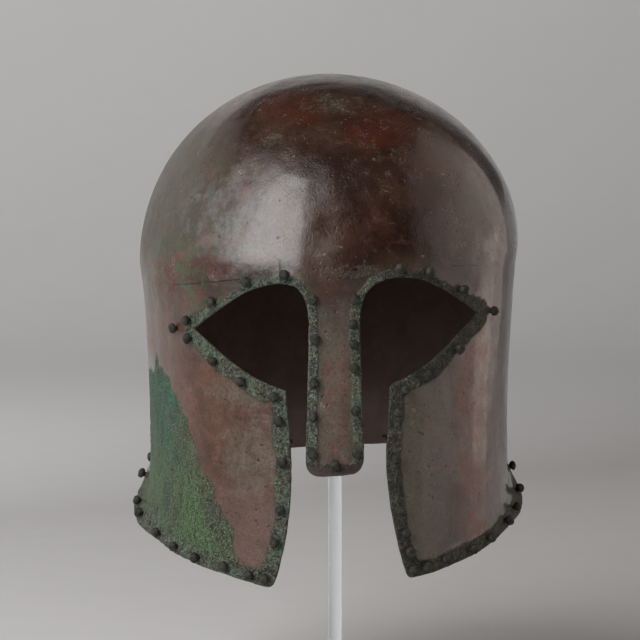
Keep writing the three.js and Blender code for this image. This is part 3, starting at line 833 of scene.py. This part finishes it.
# %% Patina of the outer face
def outer_patina():
    net = Net("waxed_bronze_patina")
    place = net.place()
    x, y, z = net.parts(place)
    wander = net.noise(place, 38, 3, 0.55, 0.4)
    clouds = net.noise(place, 17, 4, 0.6, 0.6)
    mottle = net.noise(place, 5.5, 4, 0.65)
    fine = net.noise(place, 1.6, 3, 0.7)
    grit = net.noise(place, 0.75, 2, 0.7)
    swells = net.noise(place, 14, 0.5, 0.4)
    streaks = net.noise(net.stretched(place, (1.0, 1.0, 0.2)), 6, 3, 0.6)
    swept = net.noise(net.stretched(place, (0.4, 0.8, 1.3)), 9, 5, 0.7, 1.2)

    # The crown and the forehead are dark, the sides and the cheeks greyer.
    colour = net.mix(net.step(wander * 0.6 + clouds * 0.4, 0.38, 0.62), DARK_BROWN, MID_BROWN)
    side = net.step(x.size() + 30 * (clouds - 0.5), 40, 88)
    colour = net.mix(side * 0.5, colour, GREY_BROWN)
    far_left = net.step(x + 24 * (clouds - 0.5), -42, -72) * net.step(z, 140, 165)
    colour = net.mix(far_left * 0.75, colour, OLIVE_BROWN)
    low = net.step(z + 24 * (clouds - 0.5), 146, 128)
    tall = net.noise(net.stretched(place, (1.0, 1.0, 0.35)), 15, 4, 0.6, 0.6)
    guard = net.mix(net.step(tall, 0.42, 0.58), PURPLE_GREY, GREY_BROWN)
    guard = net.mix(net.step(x + 30 * (clouds - 0.5), 56, 38) * net.step(x, 20, 30), guard, ASH_BROWN)
    rusty = net.step((x - 69 + 30 * (tall - 0.5)).size(), 11, 2) * net.step(y, -30, -50)
    guard = net.mix(rusty * net.step(mottle * 0.5 + clouds * 0.5, 0.40, 0.54), guard, RUST)
    guard = net.mix(net.step(tall * 0.5 + mottle * 0.5, 0.54, 0.66) * 0.5, guard, RED_DARK)
    colour = net.mix(low * 0.85, colour, guard)

    # Wear left rosy and slate grey clouds over the left eye.
    worn_brow = net.near(x, z, -44, 172, 44, 36)
    colour = net.mix(worn_brow * net.step(clouds * 0.6 + mottle * 0.4, 0.44, 0.60) * 0.75, colour, ROSE)
    colour = net.mix(worn_brow * net.step(tall * 0.4 + mottle * 0.6, 0.46, 0.58) * 0.65, colour, SLATE)

    # The left temple is mottled with rust and moss.
    temple = net.near(x, z, -80, 134, 30, 42) * net.step(y, 0, -30)
    colour = net.mix(temple * net.step(clouds * 0.4 + mottle * 0.6, 0.50, 0.60) * 0.6, colour, RUST)
    colour = net.mix(temple * net.step(tall * 0.4 + mottle * 0.6, 0.50, 0.40) * 0.5, colour, MOSS)

    # Red oxide shows through in broken patches on the crown and over the nasal.
    patches = (
        net.near(x, z, -20, 229, 26, 13)
        .most(net.near(x, z, 24, 219, 30, 16))
        .most(net.near(x, z, 44, 206, 14, 26) * 0.7)
        .most(net.near(x, z, 16, 172, 22, 26) * 0.6)
        .most(net.near(x, z, -60, 153, 16, 8))
        .most(net.near(x, z, -84, 140, 9, 20))
        .most(net.near(x, z, 68, 100, 7, 34) * 0.8)
    )
    red = net.step(patches * 0.5 + swept * 0.9 + mottle * 0.5 + fine * 0.3, 1.08, 1.55)
    colour = net.mix(red * 0.95, colour, OXIDE_RED)
    rust = net.step(net.noise(place, 11, 5, 0.75, 0.8), 0.54, 0.68)
    colour = net.mix(rust * 0.35, colour, RED_BROWN)

    # Flecks of olive crust lie on the crown and over both eyes.
    flecks = (
        net.near(x, z, -6, 231, 26, 8)
        .most(net.near(x, z, -32, 214, 14, 6))
    )
    flecks = net.step(flecks * 0.4 + swept * 0.5 + mottle * 0.4 + fine * 0.4, 1.0, 1.16)
    colour = net.mix(flecks * 0.7, colour, OLIVE_BROWN)
    brows = net.near(x, z, -36, 147, 24, 7).most(net.near(x, z, 10, 151, 20, 6))
    brows = net.step(brows * 0.35 + swept * 0.4 + mottle * 0.4 + fine * 0.4, 0.88, 1.12)
    colour = net.mix(brows * 0.6, colour, net.mix(mottle, BAND_BROWN, BAND_GREEN))

    # The left cheek guard and the nasal are red brown where they are smooth.
    left = net.step(x, -14, -24) * net.step(z + 14 * (clouds - 0.5), 136, 120)
    cheek = net.mix(net.step(mottle * 0.5 + clouds * 0.5, 0.38, 0.60), RED_DARK, RED_BROWN)
    cheek = net.mix(net.near(x, z, -46, 24, 30, 34) * 0.5, cheek, ROSE)
    ashes = net.near(x, z, -42, 60, 20, 26).most(net.near(x, z, -40, 92, 30, 12))
    cheek = net.mix(net.step(ashes * 0.25 + mottle * 0.7 + fine * 0.3, 0.56, 0.84) * 0.7, cheek, ASH_BROWN)
    colour = net.mix(left * 0.92, colour, cheek)
    nasal = net.step((x + 1.2).size(), 16, 13) * net.step(z + 16 * (mottle - 0.5), 130, 112) * net.step(y, -20, -40)
    skin = net.mix(net.step(streaks * 0.5 + mottle * 0.5, 0.38, 0.55), RED_BROWN, ASH_BROWN)
    colour = net.mix(nasal * 0.9, colour, net.mix(net.step(clouds * 0.5 + fine * 0.5, 0.44, 0.56) * 0.5, skin, ROSE))

    # A green crust with streaks that run down covers part of that cheek guard.
    green = net.step(net.value("green") + 0.8 * (fine - 0.5) + 0.8 * (mottle - 0.5), 0.26, 0.72)
    crust = net.mix(net.step(z - 0.5 * x + 60 * (streaks - 0.5), 88, 122), MOSS, TEAL)
    crust = net.mix(net.step(tall * 0.5 + streaks * 0.3 + mottle * 0.2, 0.52, 0.40) * 0.9, crust, DEEP_GREEN)
    crust = net.mix(net.step(tall * 0.5 + streaks * 0.2 + mottle * 0.3, 0.52, 0.62) * 0.6, crust, MINT)
    fringe = net.step(x + 0.4 * z + 14 * (mottle - 0.5), -57, -48) * net.step(z, 92, 70)
    crust = net.mix((net.step(mottle * 0.5 + clouds * 0.5, 0.48, 0.62) * 0.5).most(fringe * 0.6), crust, OLIVE_BROWN)
    colour = net.mix(green * 0.95, colour, crust)

    # The band along the edges is crusted too, with a faint halo inside it. It
    # is browner and darker on the right.
    halo = net.step(net.value("edge") * 1000 + 8 * (clouds - 0.5), 12, 4)
    colour = net.mix(halo * 0.45, colour, OLIVE_BROWN)
    band = net.step(net.value("band") + 0.6 * (fine - 0.5) + 0.7 * (mottle - 0.5), 0.26, 0.70)
    strip = net.mix(net.step(mottle * 0.8 + fine * 0.2, 0.40, 0.60), BAND_BROWN, BAND_GREEN)
    right = net.step(x, 12, 32) * (1 - 0.7 * net.step(y, -70, -20))
    strip = net.mix(right, strip, net.mix(net.step(mottle, 0.40, 0.62), BAND_DARK, BAND_BROWN))
    colour = net.mix(band * 0.94, colour, strip)
    # Painted shade: the rim at the foot of the nasal, which faces down, is darkened.
    painted_lip_shade = net.step(z, 58.6, 57.2) * net.step((x + 1.2).size(), 18, 15) * net.step(z, 45, 47)
    colour = net.mix(painted_lip_shade, colour, PAINTED_SHADE_BROWN)

    # Both crusts are full of dark pits and pale grains.
    rough = band.most(green * 0.9).most(brows * 0.8) * (1 - 0.8 * painted_lip_shade)
    pits = net.step(fine * 0.6 + grit * 0.4, 0.47, 0.38)
    colour = net.mix(pits * rough * 0.5, colour, PIT)
    grains = net.step(grit * 0.75 + fine * 0.25, 0.53, 0.64)
    grainy = 0.42 - 0.12 * right + 0.25 * net.step(x.size(), 26, 18) + 0.35 * net.near(x, z, -80, 20, 20, 18)
    colour = net.mix(grains * (band * grainy * (1 - painted_lip_shade)).most(green * 0.42), colour, PALE)

    # The waxed metal is pocked, and holds specks of pale dust.
    pocks = net.step(net.cells(place, 5.2), 0.17, 0.07) * net.step(clouds, 0.40, 0.58)
    colour = net.mix(pocks * 0.8, colour, PIT)
    specks = net.step(net.cells(place, 2.2), 0.20, 0.08) * net.step(mottle, 0.50, 0.64)
    colour = net.mix(specks * (0.5 - 0.35 * left), colour, PALE)
    bent = net.node("ShaderNodeVectorMath", {"operation": "ADD"}, {0: place, 1: net.stir(place, 6, 9)})
    scratches = net.step(net.cells(bent, 12, "DISTANCE_TO_EDGE"), 0.030, 0.012) * net.step(clouds * 0.5 + mottle * 0.5, 0.54, 0.60)
    colour = net.mix(scratches * (0.30 - 0.2 * left), colour, PALE)
    colour = net.mix(net.step(fine * 0.5 + grit * 0.5, 0.55, 0.40) * 0.32, colour, PIT)

    # Cracks follow the ridge, and one runs up from the left eye.
    cracks = (
        net.stroke(x, z, (-79, 142), (-47, 146.5), 0.55)
        .most(net.stroke(x, z, (56, 152.5), (69, 152), 0.5))
        .most(net.stroke(x, z, (-27.4, 156), (-26.8, 146), 0.9))
    ) * net.step(mottle, 0.34, 0.5)
    colour = net.mix(cracks * 0.8, colour, PIT)

    worn = net.step(mottle * 0.5 + clouds * 0.5, 0.4, 0.62)
    polished = net.step(x + 20 * (clouds - 0.5), 20, 50) * net.step(z, 150, 175)
    roughness = 0.30 - 0.12 * polished + 0.08 * worn + 0.2 * (fine - 0.5) + 0.34 * rough.most(flecks * 0.6).most(far_left * 0.6)
    coat = (1 - rough.most(flecks * 0.7).most(far_left * 0.7)) * (0.55 + 0.35 * (1 - worn))
    dull = (0.4 * net.step(z, 226, 238)).most(0.35 * temple).most(0.4 * net.near(x, z, 50, 224, 44, 26))
    dull = dull.most(0.45 * net.near(x, z, 24, 186, 36, 50))
    coat = coat * (1 - dull)
    dents = (swells * 3 + mottle * 0.6) * (1 - 0.6 * polished) + fine * 0.36 + grit * 0.15
    dents = dents - pocks * 0.7 - cracks * 0.6 - scratches * 0.4
    crumbs = fine * 0.5 + grit * 0.5 - pits * 0.4 + mottle * 0.2
    tilt = net.bump(dents, 0.75, 0.6 * MM)
    tilt = net.bump(crumbs * rough, 1.0, 1.3 * MM, tilt)
    return net.finish(
        Base_Color=colour, Roughness=roughness, Metallic=0.1, Coat_Weight=coat, Coat_Roughness=0.12, Normal=tilt,
    )


# %% Finish of the inner face
def inner_patina():
    net = Net("dark_inner_bronze")
    place = net.place()
    clouds = net.noise(place, 20, 4, 0.6, 0.5)
    mottle = net.noise(place, 4, 4, 0.6)
    colour = net.mix(net.step(clouds, 0.4, 0.65), (0.100, 0.060, 0.048), (0.128, 0.080, 0.065))
    colour = net.mix(net.step(mottle, 0.55, 0.7) * 0.4, colour, (0.060, 0.070, 0.055))
    tilt = net.bump(mottle, 0.4, 0.8 * MM)
    return net.finish(Base_Color=colour, Roughness=0.62 + 0.2 * mottle, Metallic=0.1, Normal=tilt)


# %% Finish of the rivets
def rivet_crust():
    net = Net("corroded_rivets")
    place = net.place()
    mottle = net.noise(place, 2.6, 4, 0.65)
    fine = net.noise(place, 0.7, 3, 0.6)
    colour = net.mix(net.step(mottle, 0.4, 0.62), PIT, (0.042, 0.042, 0.030))
    colour = net.mix(net.step(fine, 0.56, 0.68) * 0.4, colour, (0.11, 0.12, 0.09))
    tilt = net.bump(mottle * 0.5 + fine * 0.5, 0.8, 0.7 * MM)
    return net.finish(Base_Color=colour, Roughness=0.6 + 0.2 * fine, Metallic=0.1, Normal=tilt)


# %% Finish of the stand
def acrylic(name, clearness, solidity, painted_glow):
    """Worn acrylic. Solidity is the share of light that meets it at all: the
    thick disc lets the rest through unbent, so that the floor under it stays
    lit. A faint emission is painted light that brightens both pieces."""
    net = Net(name)
    place = net.place()
    scuffs = net.noise(place, 24, 2, 0.5)
    hairlines = net.noise(place, 1.2, 2, 0.5)
    tilt = net.bump(hairlines, 0.01, 0.2 * MM)
    # The emission is painted light: the acrylic shines though no lamp is inside it.
    return net.finish(
        Base_Color=(0.97, 1.0, 1.0), Roughness=0.23 + 0.05 * scuffs, IOR=1.47, Transmission_Weight=clearness,
        Emission_Color=(0.85, 1.0, 1.0), Emission_Strength=painted_glow, Alpha=solidity, Normal=tilt,
    )


bronze = outer_patina()
inner_bronze = inner_patina()
crusted = rivet_crust()
# The last number is the strength of the painted emission.
rod_acrylic = acrylic("clear_rod_acrylic", 0.97, 1.0, 0.06)
base_acrylic = acrylic("clear_disc_acrylic", 0.6, 0.5, 0.03)
print("finishes:", bronze.name, inner_bronze.name, crusted.name, rod_acrylic.name, base_acrylic.name)

# %% The helmet's skin
is_inner = np.arange(len(shell_faces)) >= len(sheet_faces) + len(wall)
shell = make_piece("helmet_sheet", shell_points, shell_faces, [bronze, inner_bronze], is_inner)
give_values(shell, "edge", np.tile(edge, 2))
give_values(shell, "band", np.tile(band, 2))
give_values(shell, "green", np.tile(green, 2))
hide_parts("helmet_shell")
print("helmet skin:", len(shell_faces), "triangles")

# %% [markdown]
# ## Rivets
# Rivets once held a lining along every edge. Each is a lumpy corroded knob on
# a short neck. One outline turned round an axis gives the knob, and noise
# taken at the place where the knob stands makes each one different. The
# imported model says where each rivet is, and the sheet's own normal says which
# way it points.

# %% One knob
RIVET_SEGMENTS = 20
RIVET_OUTLINE = np.array([
    (0.00, -3.0), (0.90, -2.9), (1.60, -2.3), (1.70, -1.8), (1.10, -1.6), (1.10, -0.4), (1.35, 0.1), (1.25, 0.7),
    (1.70, 1.05), (2.20, 1.45), (2.48, 2.0), (2.50, 2.6), (2.25, 3.25), (1.80, 3.8), (1.15, 4.15), (0.55, 4.3),
    (0.00, 4.35),
]) * MM
LUMPS = 0.16


def turned(outline, segments, lumps=0.0, at=(0, 0, 0), seed=0):
    """An outline turned round the z axis. The first and the last point lie on
    the axis and become one point each. Lumps push points in and out by that
    share of their distance from the axis' middle."""
    around = np.linspace(0, 2 * math.pi, segments, endpoint=False)
    body = outline[1:-1]
    rings = np.stack([
        body[:, None, 0] * np.cos(around),
        body[:, None, 0] * np.sin(around),
        np.broadcast_to(body[:, None, 1], (len(body), segments)),
    ], axis=-1).reshape(-1, 3)
    poles = [[0, 0, outline[0, 1]], [0, 0, outline[-1, 1]]]
    points = np.concatenate([rings, poles])
    if lumps:
        where = points + np.asarray(at)
        head = smooth(points[:, 2], 0.5 * MM, 1.5 * MM)
        swell = grain(where, 2.1 * MM, seed) + 0.6 * grain(where, 1.0 * MM, seed + 1)
        middle = np.array([0, 0, 2.3 * MM])
        points = middle + (points - middle) * (1 + lumps * head * swell)[:, None]
    step = np.arange(segments)
    after = (step + 1) % segments
    row = np.arange(len(body) - 1)[:, None] * segments
    low_a, low_b = (row + step).ravel(), (row + after).ravel()
    high_a, high_b = low_a + segments, low_b + segments
    last = (len(body) - 1) * segments
    foot, top = len(rings), len(rings) + 1
    faces = np.concatenate([
        np.stack([low_a, low_b, high_b], axis=1),
        np.stack([low_a, high_b, high_a], axis=1),
        np.stack([np.full(segments, foot), after, step], axis=1),
        np.stack([last + step, last + after, np.full(segments, top)], axis=1),
    ])
    return points, faces


def stood_up(points, place, normal):
    """Turns the z axis of a shape to a normal and moves its origin."""
    helper = np.array([0.0, 0.0, 1.0]) if abs(normal[2]) < 0.9 else np.array([1.0, 0.0, 0.0])
    first = np.cross(helper, normal)
    first /= np.linalg.norm(first)
    second = np.cross(normal, first)
    return place + points @ np.array([first, second, normal])


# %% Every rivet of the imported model
outer_row = outer + HELMET_PLACE
outer_normal = normal[first]
knobs = 0
for node in sorted(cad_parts):
    if not node.startswith("rivet_"):
        continue
    low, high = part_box(node)
    middle = np.array((low + high) / 2)
    nearest = np.linalg.norm(outer_row - middle, axis=1).argmin()
    out = outer_normal[nearest]
    foot = middle - out * ((middle - outer_row[nearest]) @ out)
    knobs += 1
    points, faces = turned(RIVET_OUTLINE, RIVET_SEGMENTS, LUMPS, foot, 100 + knobs)
    knob = make_piece(node.replace("rivet", "knob"), stood_up(points, foot, out), faces, [crusted])
    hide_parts(node)
print("rivets dressed:", knobs)

# %% The heads round the neck
NECK_HEADS = 19
NECK_ROW_START = math.radians(88)
for head, head_angle in enumerate(np.linspace(NECK_ROW_START, 2 * math.pi - NECK_ROW_START, NECK_HEADS)):
    head_level = level_over_rim(head_angle, RIM_INSET)
    foot = sheet_point(head_angle, head_level) + HELMET_PLACE
    out = sheet_normal(head_angle, head_level)
    points, faces = turned(RIVET_OUTLINE, RIVET_SEGMENTS, LUMPS, foot, 200 + head)
    make_piece(f"neck_knob_{head + 1}", stood_up(points, foot, out), faces, [crusted])
print("heads round the neck:", NECK_HEADS)

# %% [markdown]
# ## The stand
# A clear rod stands in a disc and carries a pad that fills the crown. All
# three are turned shapes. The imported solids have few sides, so fine ones take
# their place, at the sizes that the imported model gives.

# %% Rod and base
STAND_SEGMENTS = 96
ROD_RADIUS = 3.6 * MM
rod_low, rod_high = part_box("stand_rod")
base_low, base_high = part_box("stand_base")
pad_low, pad_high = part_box("stand_pad")
SOCKET_RADIUS = ROD_RADIUS + 0.3 * MM
ROD_BEVEL = 0.4 * MM


def rod_outline():
    """Two rings close to each end keep the long side's shading straight."""
    inset = ROD_RADIUS - ROD_BEVEL
    return np.array([
        (0, rod_low.z), (inset, rod_low.z), (ROD_RADIUS, rod_low.z + ROD_BEVEL),
        (ROD_RADIUS, rod_low.z + 2 * ROD_BEVEL), (ROD_RADIUS, rod_high.z - 2 * ROD_BEVEL),
        (ROD_RADIUS, rod_high.z - ROD_BEVEL), (inset, rod_high.z), (0, rod_high.z),
    ])


def base_outline():
    """Up the outside with a rounded upper edge, then down into the socket.
    Rings beside the edges keep the flat faces' shading flat."""
    radius, top = base_high.x, base_high.z
    bend = np.linspace(0, math.pi / 2, 8)
    bevel = 1.5 * MM
    round_edge = np.stack([radius - bevel * (1 - np.cos(bend)), top - bevel * (1 - np.sin(bend))], axis=1)
    floor = rod_low.z - 0.3 * MM
    return np.concatenate([
        [(0, 0), (radius - 1 * MM, 0), (radius - 0.5 * MM, 0), (radius, 0.5 * MM)], round_edge,
        [(radius - 2 * MM, top), (SOCKET_RADIUS + 0.5 * MM, top), (SOCKET_RADIUS, top)],
        [(SOCKET_RADIUS, floor), (0, floor)],
    ])


for node, name, outline, finish in (
    ("stand_rod", "clear_rod", rod_outline(), rod_acrylic),
    ("stand_base", "clear_base", base_outline(), base_acrylic),
):
    points, faces = turned(outline, STAND_SEGMENTS)
    piece = make_piece(name, points, faces, [finish])
    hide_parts(node)

# %% The pad in the crown
PAD_RINGS = 24


def crown_height(x, y):
    """The dome's height over a place: its ellipse solved for z."""
    reach = np.where(y < 0, FRONT_REACH, BACK_REACH)
    away = np.hypot(x / (WIDTH / 2), y / reach)
    facing = np.arctan2(x, -y)
    foot = ridge_height(facing) + LEAN * x
    return blend(foot, HEIGHT, np.sqrt(np.maximum(1 - away ** 2, 0)))


pad_radius = (pad_high.x - pad_low.x) / 2
pad_foot = pad_low.z
spread = np.linspace(pad_radius, 0, PAD_RINGS)
socket_roof = rod_high.z + 0.3 * MM
outline = np.concatenate([
    [(0, socket_roof), (SOCKET_RADIUS, socket_roof), (SOCKET_RADIUS, pad_foot), (pad_radius, pad_foot)],
    np.stack([spread, np.full(PAD_RINGS, 1.0)], axis=1),
])
points, faces = turned(outline, STAND_SEGMENTS)
on_top = points[:, 2] == 1.0
under = crown_height(points[:, 0] - HELMET_OFFSET, points[:, 1]) - WALL - 0.4 * MM + TIP_LEVEL
points[:, 2] = np.where(on_top, under, points[:, 2])
pad = make_piece("crown_pad", points, faces, [base_acrylic])
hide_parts("stand_pad")

# %% [markdown]
# ## The studio
# The photograph was taken in front of a pale sweep of paper, with one large
# soft light at the front left and a weaker one at the right, and nothing
# bright above. The stage is a floor whose rim curves up into a wall all round.
# It lies a hair under the base, so that the two faces don't meet in one plane.

# %% Floor and wall
STAGE_RADIUS = 3.2
STAGE_BEND = 1.0
WALL_TOP = 2.1
FLOOR_GAP = 0.3 * MM
bend = np.linspace(0, math.pi / 2, 16)
profile = np.concatenate([
    [(0.0, 0.0)],
    np.stack([STAGE_RADIUS - STAGE_BEND * (1 - np.sin(bend)), STAGE_BEND * (1 - np.cos(bend))], axis=1),
    [(STAGE_RADIUS, WALL_TOP)],
]) - (0.0, FLOOR_GAP)
around = np.linspace(0, 2 * math.pi, 96, endpoint=False)
stage_points = np.stack([
    profile[:, None, 0] * np.cos(around), profile[:, None, 0] * np.sin(around),
    np.broadcast_to(profile[:, None, 1], (len(profile), len(around))),
], axis=-1).reshape(-1, 3)
spot = np.arange(len(stage_points)).reshape(len(profile), len(around))
after = np.roll(spot, -1, axis=1)
stage_faces = np.stack([spot[:-1].ravel(), after[:-1].ravel(), after[1:].ravel(), spot[1:].ravel()], axis=1)
paper = Net("pale_paper_painted_light")
on_paper = paper.place()
paper_x, paper_y, _ = paper.parts(on_paper)
# Painted light and shade: the paper is lighter near the helmet and towards the left, and darker far away and towards
# the right.
painted_falloff = paper.step((paper_x * paper_x + paper_y * paper_y) ** 0.5, 600, 2100)
painted_light_from_left = paper.mix(paper.step(paper_x, -400, 400), (0.85, 0.845, 0.84), (0.64, 0.635, 0.63))
shade = paper.mix(painted_falloff, painted_light_from_left, (0.50, 0.49, 0.485))
fibre = paper.noise(on_paper, 40, 3, 0.6)
paper.finish(Base_Color=paper.mix(fibre * 0.1, shade, (0.3, 0.3, 0.3)), Roughness=0.9)
stage_mesh = bpy.data.meshes.new("stage")
stage_mesh.from_pydata(stage_points.tolist(), [], stage_faces.tolist())
stage_mesh.polygons.foreach_set("use_smooth", np.ones(len(stage_faces), bool))
stage_mesh.materials.append(paper.material)
stage = bpy.data.objects.new("stage", stage_mesh)
bpy.context.scene.collection.objects.link(stage)


# %% Lights
WARM = (1.0, 0.84, 0.75)


def panel(name, azimuth, distance, width, low, high, radiance, facing=1, tint=(1, 1, 1), gloss_only=False):
    """An upright soft light in a direction round the helmet, from a low to a
    high level, which faces the helmet, or the wall behind the panel. A light's
    power is its radiance times its area times pi. Some are only seen in
    reflections."""
    turn = math.radians(azimuth)
    away = Vector((math.sin(turn), -math.cos(turn), 0))
    data = bpy.data.lights.new(name, "AREA")
    data.shape = "RECTANGLE"
    data.size = width
    data.size_y = high - low
    data.energy = radiance * width * (high - low) * math.pi
    data.color = tint
    light = bpy.data.objects.new(name, data)
    light.location = away * distance + Vector((0, 0, (low + high) / 2))
    light.rotation_euler = (away * facing).to_track_quat("Z", "Y").to_euler()
    light.visible_diffuse = not gloss_only
    bpy.context.scene.collection.objects.link(light)
    return light


panel("key", -36, 1.2, 0.8, 0.38, 2.6, 4.7)
panel("key_middle", -63, 1.2, 0.36, 0.38, 2.75, 2.35)
panel("key_edge", -83, 1.2, 0.5, 0.38, 2.9, 0.7)
panel("side", 97, 1.3, 2.2, 0.02, 2.3, 0.5, tint=WARM)
panel("side_strip", 114, 1.2, 0.34, 0.02, 0.36, 0.6, tint=WARM, gloss_only=True)
panel("left_fill", -125, 1.5, 1.3, 0.05, 2.0, 0.2)
panel("backdrop", 212, 0.75, 2.6, 1.5, 2.6, 7.4, facing=-1)
panel("front_wash", 35, 0.9, 1.8, 1.2, 2.1, 2.0, facing=-1)


# %% Dark cards for the reflections
def flag(name, azimuth, distance, width, low, high):
    """A dark upright card that only reflections see."""
    turn = math.radians(azimuth)
    away = np.array([math.sin(turn), -math.cos(turn), 0])
    along = np.array([math.cos(turn), math.sin(turn), 0]) * width / 2
    middle = away * distance
    corners = [middle - along, middle + along, middle + along, middle - along]
    points = [corner + np.array([0, 0, height]) for corner, height in zip(corners, (low, low, high, high))]
    mesh = bpy.data.meshes.new(name)
    mesh.from_pydata([point.tolist() for point in points], [], [(0, 1, 2, 3)])
    card = Net("black_card")
    grain_of_card = card.noise(card.place(), 60, 2)
    card.finish(Base_Color=card.mix(grain_of_card, (0.01, 0.01, 0.01), (0.02, 0.02, 0.02)), Roughness=0.9)
    mesh.materials.append(card.material)
    piece = bpy.data.objects.new(name, mesh)
    piece.visible_camera = False
    piece.visible_diffuse = False
    piece.visible_shadow = False
    piece.visible_transmission = False
    bpy.context.scene.collection.objects.link(piece)
    return piece


flag("dark_flag", 146, 1.4, 0.5, 0.42, 2.5)
flag("dark_room", 20, 2.6, 2.8, 0.3, 2.6)

sky = bpy.data.worlds.new("studio")
sky.use_nodes = True
sky.node_tree.nodes["Background"].inputs["Color"].default_value = (0.5, 0.5, 0.5, 1)
sky.node_tree.nodes["Background"].inputs["Strength"].default_value = 0.06
bpy.context.scene.world = sky
bpy.context.scene.view_settings.view_transform = "Standard"
